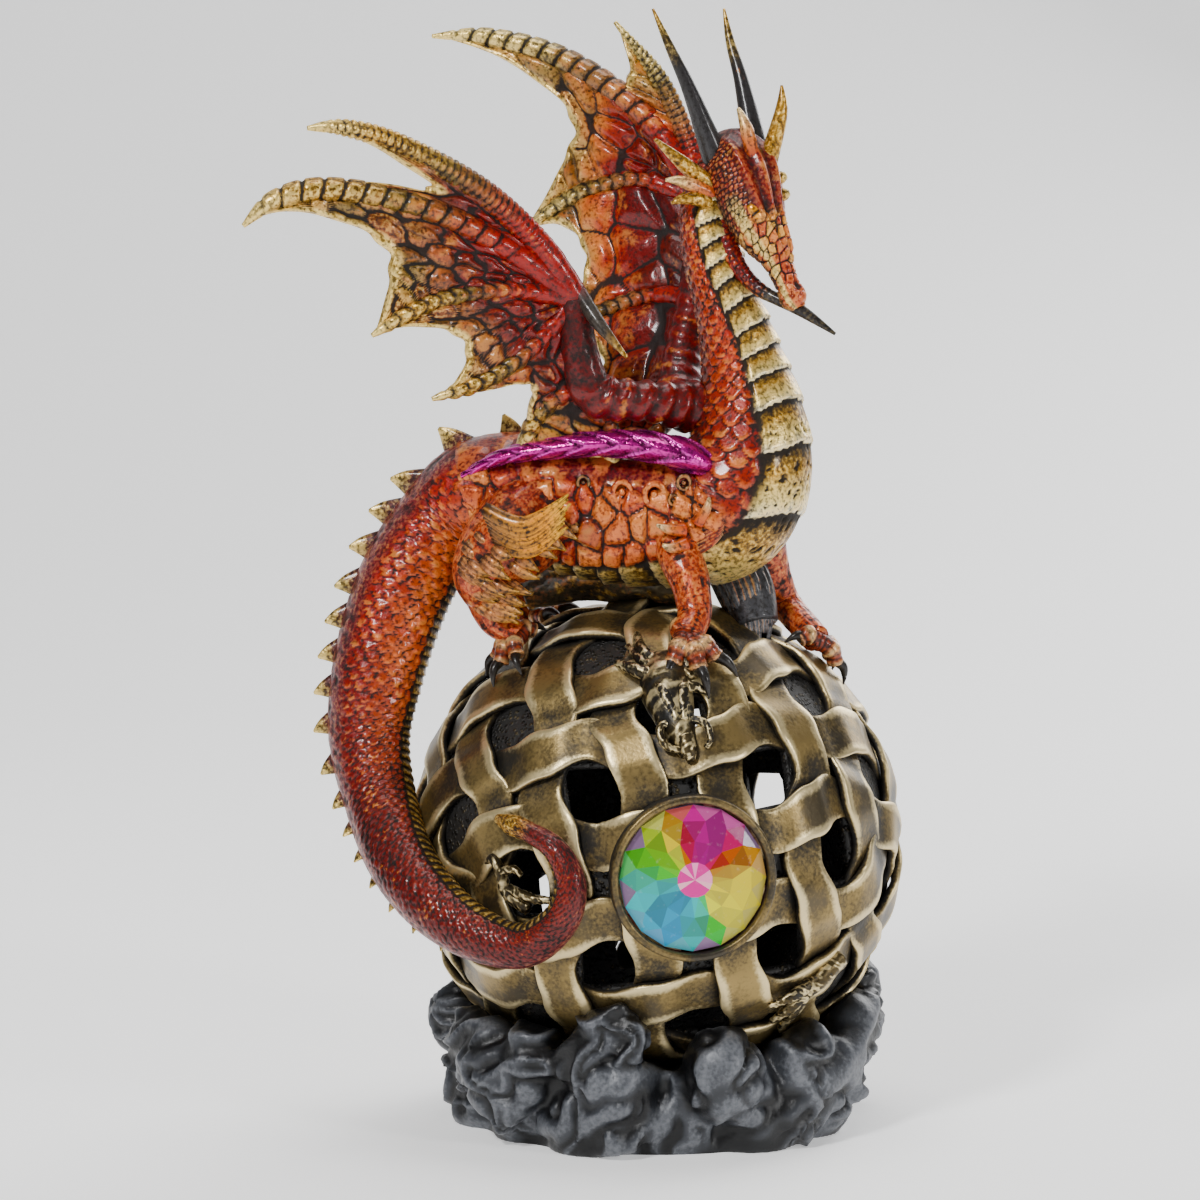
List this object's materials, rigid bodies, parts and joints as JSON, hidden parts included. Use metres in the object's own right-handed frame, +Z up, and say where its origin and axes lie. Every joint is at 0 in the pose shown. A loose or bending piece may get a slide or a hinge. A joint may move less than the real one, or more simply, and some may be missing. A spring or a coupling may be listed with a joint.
{
  "type": "dragon statue",
  "caption": "Winged dragon perched on a hollow woven orb with a faceted gem, its tail curled round the orb, on a plinth of smoke curls.",
  "frame": {"origin": "middle of the plinth's underside, on the surface it stands on", "axes": "+Z up, -Y towards the viewer that the gem faces, +X the way the dragon's chest points"},
  "size_m": [0.1153, 0.0913, 0.1991],
  "materials": {
    "painted_resin": "cast resin painted deep red to orange, black wash in the carving, gold on tips, fins and belly plates",
    "bronze_resin": "cast resin painted antique bronze, worn gold edges, dark wash on the grained ground",
    "gem_glass": "faceted glass with a rainbow foil behind it",
    "grey_resin": "cast resin painted dull blue-grey"
  },
  "bodies": {
    "root": {"dragon": "painted_resin", "woven_orb": "bronze_resin", "gem": "gem_glass", "smoke_plinth": "grey_resin"}
  },
  "joints": []
}
